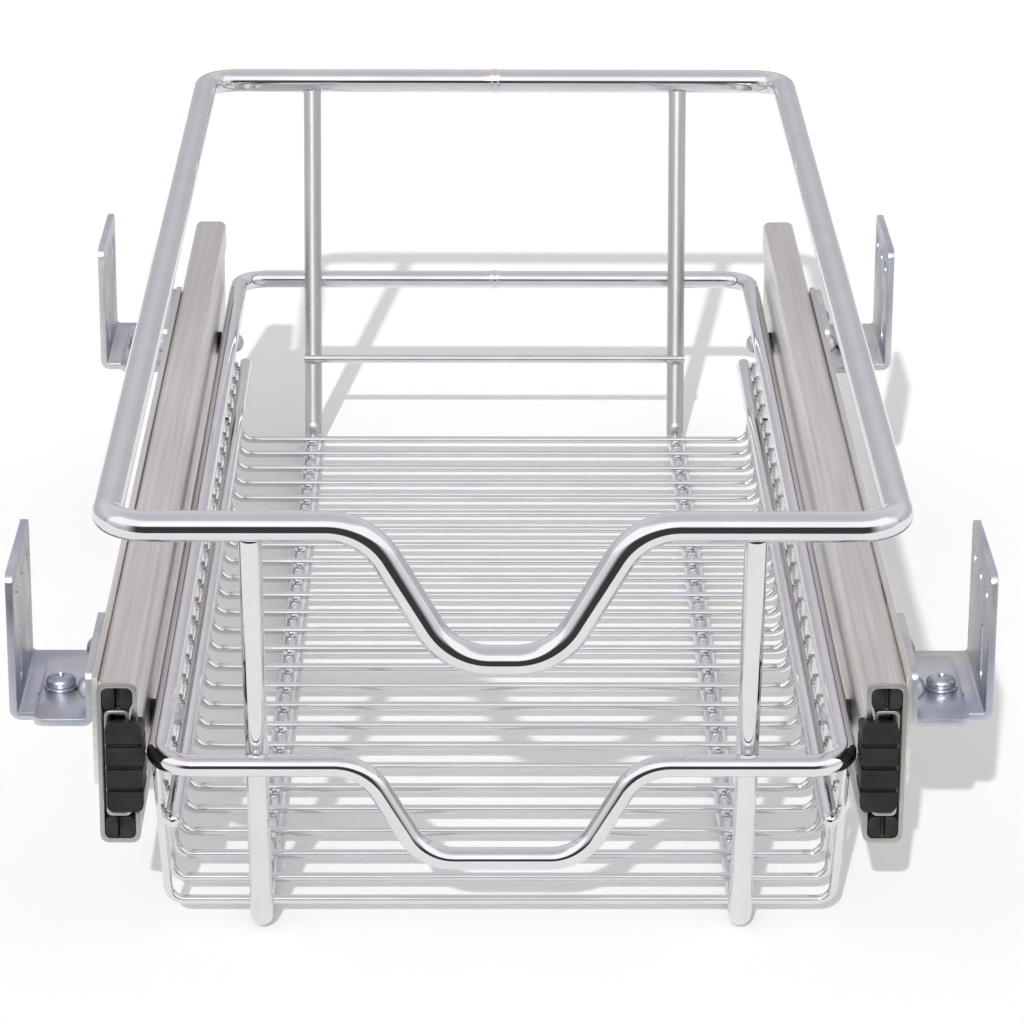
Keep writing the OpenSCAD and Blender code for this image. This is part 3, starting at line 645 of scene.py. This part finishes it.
def repeated(name, shape, places, turns, node=None, change=0.0):
    """One shape at many places. It stands for a CAD node, or else it is weld metal on the basket."""
    body = body_of[node] if node else "basket"
    slot = slot_of[node] if node else "chrome"
    one = in_scene(name + "_one", shape)
    seed = seed_mesh(name, places, [], "turn", "FLOAT_VECTOR", [a for t in turns for a in t])
    made = grown(seed, REPEAT, {"Piece": one, "Size change": change, "Finish": FINISH[slot]})
    bpy.data.objects.remove(one)
    piece(name, made, body, slot, (node,) if node else ())


# ---------------------------------------------------------------- the basket's wires

def wire_route(start, face, steps):
    """The centre line of a bent wire, from its start, where it runs along the X of its face.

    Each step is straight length, bend radius, bend angle and the roll about the wire before it."""
    bend_step = 4
    at = Vector(start)
    points = [at]
    for length, radius, angle, roll in steps:
        face = face @ Matrix.Rotation(math.radians(roll), 3, "X")
        at = at + face @ Vector((length, 0, 0))
        points.append(at)
        parts = math.ceil(angle / bend_step)
        for i in range(1, parts + 1):
            t = math.radians(angle) * i / parts
            points.append(at + face @ Vector((radius * math.sin(t), radius * (1 - math.cos(t)), 0)))
        at = points[-1]
        face = face @ Matrix.Rotation(math.radians(angle), 3, "Z")
    return points


def ring_route(w, depth, z, corner_r, flat, drop, dip_r, slope):
    """A ring from the middle of its back, round by the front with its hand dip, and back again."""
    s = math.radians(slope)
    slope_l = (drop - 2 * dip_r * (1 - math.cos(s))) / math.sin(s)
    dip_half = flat / 2 + 2 * dip_r * math.sin(s) + slope_l * math.cos(s)
    side = depth - 2 * corner_r
    half_back = w / 2 - corner_r
    half_front = half_back - dip_half
    return wire_route((0, depth / 2, z), Matrix.Identity(3), [
        (half_back, corner_r, 90, 180),
        (side, corner_r, 90, 0),
        (half_front, dip_r, slope, 90),
        (slope_l, dip_r, slope, 180),
        (flat, dip_r, slope, 0),
        (slope_l, dip_r, slope, 180),
        (half_front, corner_r, 90, -90),
        (side, corner_r, 90, 0),
    ])


def u_route(y, z, top_z):
    """A floor wire from its left tip, under the basket, to its right tip."""
    turn = 90 - floor_lean
    inset = floor_bend_r * math.tan(math.radians(turn / 2))
    side = (top_z - z) / floor_cos - inset
    start_x = floor_half + (top_z - z) * floor_tan
    return wire_route((-start_x, y, top_z), Matrix.Rotation(math.radians(turn), 3, "Y"), [
        (side, floor_bend_r, turn, 90),
        (2 * (floor_half - inset), floor_bend_r, turn, 0),
        (side, 0, 0, 0),
    ])


def runner_route(side):
    """A runner from its front top, along the floor, to its rear top, just inside the rail's bars."""
    turn = 90 - upright_lean
    upright = upright_rise / lean_cos - bend_inset
    heading = Matrix.Rotation(math.radians(90), 3, "Z") @ Matrix.Rotation(math.radians(turn), 3, "Y")
    points = wire_route((side * runner_x, -rail_depth / 2, rail_z), heading, [
        (upright, runner_bend_r, turn, 90),
        (runner_depth - 2 * bend_inset, runner_bend_r, turn, 0),
        (upright, 0, 0, 0),
    ])
    for end, inner in ((0, 1), (-1, -2)):
        inwards = (points[inner] - points[end]).normalized()
        points[end] = points[end] + inwards * (rail_d / 2 - runner_end_in)
    return points


def seamed(route, d):
    """A ring's route and its shares, with the bead of its butt weld about its first point.

    The bead is pairs of a distance from the seam and the share of the thickness there."""
    crest = 1 + 2 * weld_sink / d
    middle = crest - 0.02
    bead = [(0.2, crest - 0.008), (0.7, crest), (1.0, crest - 0.025), (seam_l / 2, 1.0), (seam_reach, 1.0)]
    back = route[0]
    before = [back - Vector((x, 0, 0)) for x, s in reversed(bead)]
    after = [back + Vector((x, 0, 0)) for x, s in bead]
    rising, falling = [s for x, s in reversed(bead)], [s for x, s in bead]
    plain = [1.0] * (len(route) - 1)
    return [back] + after + route[1:] + before, [middle] + falling + plain + rising


def rounded_bar(side):
    """A side bar's route and shares, with a round of its own radius at each end."""
    r = bar_d / 2
    turns = [math.radians(a) for a in (4, 20, 40, 60, 75, 90)]
    in_from_end = [r * (1 - math.cos(t)) for t in turns]
    rising = [math.sin(t) for t in turns]
    ys = [end_wire_y - bar_over + a for a in in_from_end]
    ys += [floor_ys[-1] + bar_over - a for a in reversed(in_from_end)]
    return [Vector((side * bar_x, y, bar_z)) for y in ys], rising + rising[::-1]


upper_rail = ring_route(rail_w, rail_depth, rail_z, rail_corner_r,
                        rail_dip_flat, rail_dip_drop, rail_dip_r, rail_dip_slope)
lower_ring = ring_route(ring_w, ring_depth, ring_z, ring_corner_r,
                        ring_dip_flat, ring_dip_drop, ring_dip_r, ring_dip_slope)
for node, route, d, sides in (("upper_rail", upper_rail, rail_d, 44), ("lower_ring", lower_ring, ring_d, 36)):
    points, share = seamed(route, d)
    wires(node + "_rod", node, [points], d, sides, closed=True, shares=[share])
# The runners' finish paints shade on their rear bends and uprights.
for side, word in SIDES:
    wires(word + "_runner_wire", word + "_runner", [runner_route(side)], runner_d, sides=32,
          finish=CHROME_ROUGH_AND_SHADED_REAR)
cross = [Vector((side * (runner_x + cross_over), cross_y, cross_z)) for side in (-1, 1)]
wires("rear_cross_wire_rod", "rear_cross_wire", [cross], cross_d, sides=20)
end_wire = u_route(end_wire_y, end_wire_z, end_wire_tip_z)
wires("front_end_wire_rod", "front_end_wire", [end_wire], floor_d, sides=20)
wires("floor_wire_set", "floor_wires", [u_route(y, floor_z, tip_z) for y in floor_ys], floor_d,
      sides=16)
for side, word in SIDES:
    points, share = rounded_bar(side)
    wires(word + "_side_bar_rod", word + "_side_bar", [points], bar_d, sides=28, shares=[share])

# ---------------------------------------------------------------- sheet metal and mouldings

for node in ("left_slide_tabs", "right_slide_tabs", "tab_spacers"):
    softened(node, width=0.2)
for word in ("left", "right"):
    for part in ("cabinet_member", "middle_member", "drawer_member"):
        softened(f"{word}_{part}", width=0.22)
    softened(f"{word}_mount_strip", width=0.3)
    softened(f"{word}_bumper", width=0.5, segments=3)
    softened(f"{word}_front_guides", width=0.35)
    softened(f"{word}_rear_stop", width=0.35)
    for end in ("front", "rear"):
        softened(f"{word}_{end}_angle", width=0.3)
        softened(f"{word}_{end}_wall_bracket", width=0.3)


# ---------------------------------------------------------------- shapes of fasteners, balls and welds

def loop_at(bm, z, radii):
    """A loop of points at one height, each with its own distance from the middle."""
    turns = [2 * math.pi * i / len(radii) for i in range(len(radii))]
    return [bm.verts.new((r * MM * math.cos(t), r * MM * math.sin(t), z * MM)) for r, t in zip(radii, turns)]


def skinned(bm, loops):
    """Faces from each loop to the next, pointing outwards. A loop of one point closes a pole."""
    for a, b in zip(loops, loops[1:]):
        sides = max(len(a), len(b))
        for i in range(sides):
            j = (i + 1) % sides
            if len(a) == 1:
                bm.faces.new((a[0], b[i], b[j]))
            elif len(b) == 1:
                bm.faces.new((a[i], b[0], a[j]))
            else:
                bm.faces.new((a[i], b[i], b[j], a[j]))
    bmesh.ops.recalc_face_normals(bm, faces=bm.faces)


def turned(name, profile, sides, closed=False):
    """A solid of revolution about Z from (radius, height) pairs. A closed profile leaves a hole."""
    bm = bmesh.new()
    loops = [loop_at(bm, z, [r] * sides if r > 0 else [0]) for r, z in profile]
    skinned(bm, loops + loops[:1] if closed else loops)
    return shaded(bm, bpy.data.meshes.new(name), 35)


def dome(r, low, high, steps):
    """Points over a rounded head, from its rim at the low height to its middle at the high one."""
    turns = [math.pi / 2 * i / steps for i in range(steps)]
    return [(r * math.cos(t), low + (high - low) * math.sin(t)) for t in turns] + [(0, high)]


def ring_shape(name, r_in, r_out, t, edge):
    """A washer or spacer with bevelled edges, standing on the zero height."""
    return turned(name, [
        (r_in + edge, 0), (r_out - edge, 0), (r_out, edge), (r_out, t - edge),
        (r_out - edge, t), (r_in + edge, t), (r_in, t - edge), (r_in, edge)], round_sides, closed=True)


def recess_tool(turn):
    """A bar that tapers downwards, across the top of a screw's head."""
    bm = bmesh.new()
    bmesh.ops.create_cube(bm, size=1.0)
    for v in bm.verts:
        taper = 1.0 if v.co.z > 0 else recess_taper
        v.co = Vector((v.co.x * recess_l * taper, v.co.y * recess_w * taper,
                       v.co.z * 2 * recess_deep + screw_head_h)) * MM
    bmesh.ops.rotate(bm, verts=bm.verts, matrix=Matrix.Rotation(math.radians(turn), 3, "Z"))
    mesh = bpy.data.meshes.new("recess")
    bm.to_mesh(mesh)
    bm.free()
    return in_scene("recess", mesh)


def screw_shape():
    """A pan head screw with a cross recess. Its height runs from the head's underside."""
    r, head_r = screw_d / 2, screw_head_d / 2
    end = -(2 * bracket_t + washer_t + nut_t + screw_over)
    shank = [(0, end), (r - screw_bevel, end), (r, end + screw_bevel), (r, 0)]
    crown = [(0, 1.1), (0.2, 1.65), (0.65, 2.1), (1.3, 2.45), (2.2, 2.7), (head_r, screw_head_h)]
    head = [(head_r - head_bevel, 0), (head_r, head_bevel)] + [(head_r - inwards, z) for inwards, z in crown]
    work = in_scene("screw_work", turned("screw_work", shank + head, round_sides))
    tools = [recess_tool(turn) for turn in (0, 90)]
    for tool in tools:
        cut = work.modifiers.new("cut", "BOOLEAN")
        cut.operation = "DIFFERENCE"
        cut.solver = "EXACT"
        cut.object = tool
    made = with_modifiers(work)
    for obj in tools + [work]:
        bpy.data.objects.remove(obj)
    bm = bmesh.new()
    bm.from_mesh(made)
    return shaded(bm, made, 30)


def nut_shape():
    """A hexagonal nut with bevelled corners and a round hole."""
    sides, flat_r, sixth = 36, nut_af / 2, math.pi / 3
    off_flat = [(2 * math.pi * i / sides + sixth / 2) % sixth - sixth / 2 for i in range(sides)]
    hexagon = [flat_r / math.cos(a) for a in off_flat]
    circle = [flat_r] * sides
    hole = [screw_d / 2 + hole_gap] * sides
    mouth = [screw_d / 2 + hole_gap + nut_hole_bevel] * sides
    bm = bmesh.new()
    loops = [loop_at(bm, z, radii) for z, radii in (
        (nut_hole_bevel, hole), (0, mouth), (0, circle), (nut_bevel, hexagon),
        (nut_t - nut_bevel, hexagon), (nut_t, circle), (nut_t, mouth), (nut_t - nut_hole_bevel, hole))]
    skinned(bm, loops + loops[:1])
    return shaded(bm, bpy.data.meshes.new("hexagon_nut"), 25)


def side_rivet(name, foot_t):
    """A rivet from the cabinet member's inner face outwards, with its domed head at the far end."""
    grip = cabinet_sheet + strip_t + foot_t
    head = dome(rivet_head_d / 2, grip, grip + rivet_head_h, 6)
    return turned(name, [(0, 0), (rivet_d / 2, 0), (rivet_d / 2, grip)] + head, rivet_sides)


def tab_rivet():
    """A rivet through tab, spacer and drawer member, with a domed head at each end."""
    r, tab_face = tab_rivet_d / 2, -tab_t / 2
    web_face = drawer_web_x - tab_x + inner_sheet
    head = [(x, tab_face - z) for x, z in reversed(dome(tab_head_d / 2, 0, rivet_head_h, 6))]
    tail = dome(r + tab_tail_over, web_face + tab_tail_rim, web_face + rivet_head_h, 5)
    shank = [(r, tab_face), (r, web_face), (r + tab_tail_over, web_face)]
    return turned("tab_rivet", head + shank + tail, rivet_sides)


def ball_shape(d):
    """A ball of a slide."""
    bm = bmesh.new()
    bmesh.ops.create_icosphere(bm, subdivisions=2, radius=d / 2 * MM)
    return shaded(bm, bpy.data.meshes.new("ball"), 60)


def weld_shape():
    """A small flattened bead of weld metal."""
    bm = bmesh.new()
    bmesh.ops.create_uvsphere(bm, u_segments=8, v_segments=5, radius=bead_r * MM)
    for v in bm.verts:
        v.co.z *= bead_flat
    return shaded(bm, bpy.data.meshes.new("weld_bead"), 60)


# ---------------------------------------------------------------- fasteners, balls and welds in their places

def both_sides(ys, x, z):
    """Places on the left and the right, with the turns that point a piece's height outwards."""
    places = [(side * x, y, z) for side in (-1, 1) for y in ys]
    turns = [(0, side * math.pi / 2, 0) for side in (-1, 1) for y in ys]
    return places, turns


screws = [(side * screw_x, y) for side in (-1, 1) for y in bracket_ys]
screw_turns = [(0, 0, t) for t in (0.35, 1.1, -0.5, 0.8)]
washer = ring_shape("plain_washer", screw_d / 2 + hole_gap, washer_d / 2, washer_t, edge=0.15)
repeated("bracket_screw_set", screw_shape(), [(*s, screw_seat_z + washer_t) for s in screws],
         screw_turns, "bracket_screws")
repeated("bracket_washer_set", washer, [(*s, screw_seat_z) for s in screws], screw_turns, "bracket_washers")
repeated("bracket_nut_set", nut_shape(), [(*s, bracket_z - nut_t) for s in screws],
         [(0, 0, 0)] * len(screws), "bracket_nuts")

rivet_ys = [y + s * rivet_off for y in bracket_ys for s in (-1, 1)]
for name, node, foot_t, ys in (("bracket_rivet_set", "bracket_rivets", bracket_t, rivet_ys),
                               ("strip_rivet_pair", "strip_rivets", 0, [strip_rivet_y])):
    places, turns = both_sides(ys, slide_out_x - cabinet_sheet, rivet_z)
    repeated(name, side_rivet("side_rivet", foot_t), places, turns, node)

places, turns = both_sides((-tab_y, tab_y), tab_x, tab_hole_z)
repeated("tab_rivet_set", tab_rivet(), places, turns, "tab_rivets")
spacer_l = drawer_web_x - tab_x - tab_t / 2
spacer = ring_shape("spacer", tab_rivet_d / 2 + hole_gap, spacer_d / 2, spacer_l, edge=0.3)
places, turns = both_sides((-tab_y, tab_y), tab_x + tab_t / 2, tab_hole_z)
repeated("tab_spacer_set", spacer, places, turns, "tab_spacers")

ball_turn = 0.7  # radians from one ball to the next
ball_ys = [(i - (ball_count - 1) / 2) * cage_l / ball_count for i in range(ball_count)]
for side, word in SIDES:
    for track, u, z, track_t in (("outer", slide_t / 2, outer_track_z, outer_track_t),
                                 ("inner", (middle_in + middle_out) / 2, inner_track_z, inner_track_t)):
        places = [(side * (slide_x + u), y, slide_z + k * z) for k in (-1, 1) for y in ball_ys]
        turns = [(0, 0, ball_turn * i) for i in range(len(places))]
        node = f"{word}_{track}_balls"
        repeated(f"{node}_set", ball_shape(track_t - 2 * ball_gap), places, turns, node)

pairs = [(side, k) for side in (-1, 1) for k in (-1, 1)]
seats = [(side * runner_x + k * floor_bead_aside, y, runner_d - weld_sink)
         for y in floor_ys for side, k in pairs]
seats += [(side * (bar_x + bar_d / 2 - bar_bead_in), y + k * bar_bead_aside, bar_z)
          for y in floor_ys for side, k in pairs]
repeated("wire_weld_beads", weld_shape(), seats, [(0, 0, 0)] * len(seats), change=0.18)

rail_seat = (rail_bead_aside, upright_y(rail_z - rail_d / 2 - rail_bead_under) + rail_bead_out,
             rail_z - rail_d / 2 + rail_bead_up)
ring_seat = (ring_bead_aside, upright_y(ring_z) + runner_d / 2 / lean_cos - ring_bead_in, ring_z)
seats = [(side * runner_x + k * aside, end * y, z)
         for side, end in pairs for aside, y, z in (rail_seat, ring_seat) for k in (-1, 1)]
bead_tilt = 0.6  # radians
repeated("upright_weld_beads", weld_shape(), seats, [(bead_tilt, 0, 0)] * len(seats), change=0.25)

for name, obj in nodes.items():
    for s in obj.material_slots:
        s.material = FINISH[slot_of[name]]


# ---------------------------------------------------------------- floor, light and camera

def studio_floor():
    """White paper that keeps the shadows. Metal mirrors only the strip of it about the basket."""
    half, below, white, lift = 6.0, 0.0003, (0.97, 0.97, 0.97, 1), 0.045
    front_end, rear_end = (-0.415, -0.425), (0.78, 0.86)
    z = cad_box[0][2] - below
    mesh = bpy.data.meshes.new("studio_floor")
    corners = [(-half, -half, z), (half, -half, z), (half, half, z), (-half, half, z)]
    mesh.from_pydata(corners, [], [(0, 1, 2, 3)])
    m = bpy.data.materials.new("white_paper")
    tree = cleared(m)
    new, link = tree.nodes.new, tree.links.new
    out, path = new("ShaderNodeOutputMaterial"), new("ShaderNodeLightPath")
    paper, glow = new("ShaderNodeBsdfDiffuse"), new("ShaderNodeEmission")
    add, gone = new("ShaderNodeAddShader"), new("ShaderNodeBsdfTransparent")
    paper.inputs["Color"].default_value = white
    link(worked(tree, "MULTIPLY", path.outputs["Is Camera Ray"], lift), glow.inputs["Strength"])
    link(paper.outputs["BSDF"], add.inputs[0])
    link(glow.outputs["Emission"], add.inputs[1])
    y = along(tree, "Y")
    past_ends = worked(tree, "ADD", remap(tree, y, front_end), remap(tree, y, rear_end))
    unseen = worked(tree, "MULTIPLY", past_ends, path.outputs["Is Glossy Ray"])
    link(either(tree, unseen, add.outputs["Shader"], gone.outputs["BSDF"]), out.inputs["Surface"])
    mesh.materials.append(m)
    floor = in_scene("studio_floor", mesh)


def height_of(degrees):
    """Where a direction, so many degrees over level, falls on a ramp from straight down to straight up."""
    return (math.sin(math.radians(degrees)) + 1) / 2


def studio_world():
    """White for the camera. Metal sees a white card ahead, dark below it, and violet grey above and behind.

    Straight ahead the dark reaches up to the card. To the sides it goes over into greys."""
    dark, white = (0.045, 0.042, 0.045), (1.0, 1.0, 1.0)
    violet, overhead = (0.60, 0.58, 0.61), (0.54, 0.52, 0.55)
    side_low, side_mid = (0.50, 0.49, 0.51), (0.72, 0.71, 0.73)
    back_low, back_mid = (0.48, 0.46, 0.50), (0.66, 0.64, 0.67)
    mirrored, lit, seen = 1.2, 0.63, 1.0
    dark_ends, back_to_front = (-1.0, -0.45), (0.1, -0.1)
    w = bpy.data.worlds.new("studio")
    bpy.context.scene.world = w
    tree = cleared(w)
    new, link = tree.nodes.new, tree.links.new
    out, place = new("ShaderNodeOutputWorld"), new("ShaderNodeTexCoord")
    split, path = new("ShaderNodeSeparateXYZ"), new("ShaderNodeLightPath")
    link(place.outputs["Generated"], split.inputs["Vector"])
    x, y, z = split.outputs

    def light(strength, colour=None):
        glow = new("ShaderNodeBackground")
        glow.inputs["Color"].default_value = (*white, 1)
        glow.inputs["Strength"].default_value = strength
        if colour:
            link(colour, glow.inputs["Color"])
        return glow.outputs["Background"]

    rise = remap(tree, z, (-1, 1))
    card_top = (height_of(52), white), (height_of(60), violet), (1.0, overhead)
    middle = ramp(tree, rise, (0.0, dark), (height_of(13), dark), (height_of(19), white), *card_top)
    sides = ramp(tree, rise, (0.0, side_low), (height_of(-5), side_low), (height_of(12), side_mid),
                 (height_of(22), white), *card_top)
    back = ramp(tree, rise, (0.0, back_low), (height_of(10), back_low), (height_of(30), back_mid),
                (1.0, overhead))
    aside = worked(tree, "DIVIDE", worked(tree, "ABSOLUTE", x), y)
    front = mixed(tree, remap(tree, aside, dark_ends), sides, middle)
    room = mixed(tree, remap(tree, y, back_to_front), back, front)
    unseen = either(tree, path.outputs["Is Glossy Ray"], light(lit), light(mirrored, room))
    link(either(tree, path.outputs["Is Camera Ray"], unseen, light(seen)), out.inputs["Surface"])


def key_light():
    """A far lamp ahead of the basket, to its left and above, that lights the whole floor evenly."""
    travel = Vector((0.24, 1.62, -1.0))
    data = bpy.data.lights.new("far_lamp", "SUN")
    data.angle = math.radians(1.0)
    data.energy = 2.3
    lamp = in_scene("far_lamp", data)
    lamp.rotation_euler = travel.to_track_quat("-Z", "Y").to_euler()


def photo_camera():
    """The camera where the photo was taken from. Its lens is given in pixels of the photo."""
    lens_px, image_px, sensor = 4319.948, 1024, 36
    pan, tilt, roll = [math.radians(a) for a in (0.5662, 20, 0.2506)]
    place = Vector((-7.956, -1252.699, 502.728))
    data = bpy.data.cameras.new("photo_camera")
    data.sensor_fit = "HORIZONTAL"
    data.sensor_width = sensor
    data.lens = lens_px * sensor / image_px
    data.clip_start, data.clip_end = 0.05, 50
    camera = in_scene("photo_camera", data)
    level = Matrix.Rotation(-pan, 4, "Z") @ Matrix.Rotation(math.pi / 2 - tilt, 4, "X")
    camera.matrix_world = Matrix.Translation(place * MM) @ level @ Matrix.Rotation(roll, 4, "Z")
    bpy.context.scene.camera = camera


studio_floor()
studio_world()
key_light()
photo_camera()
bpy.context.scene.view_settings.view_transform = "Standard"
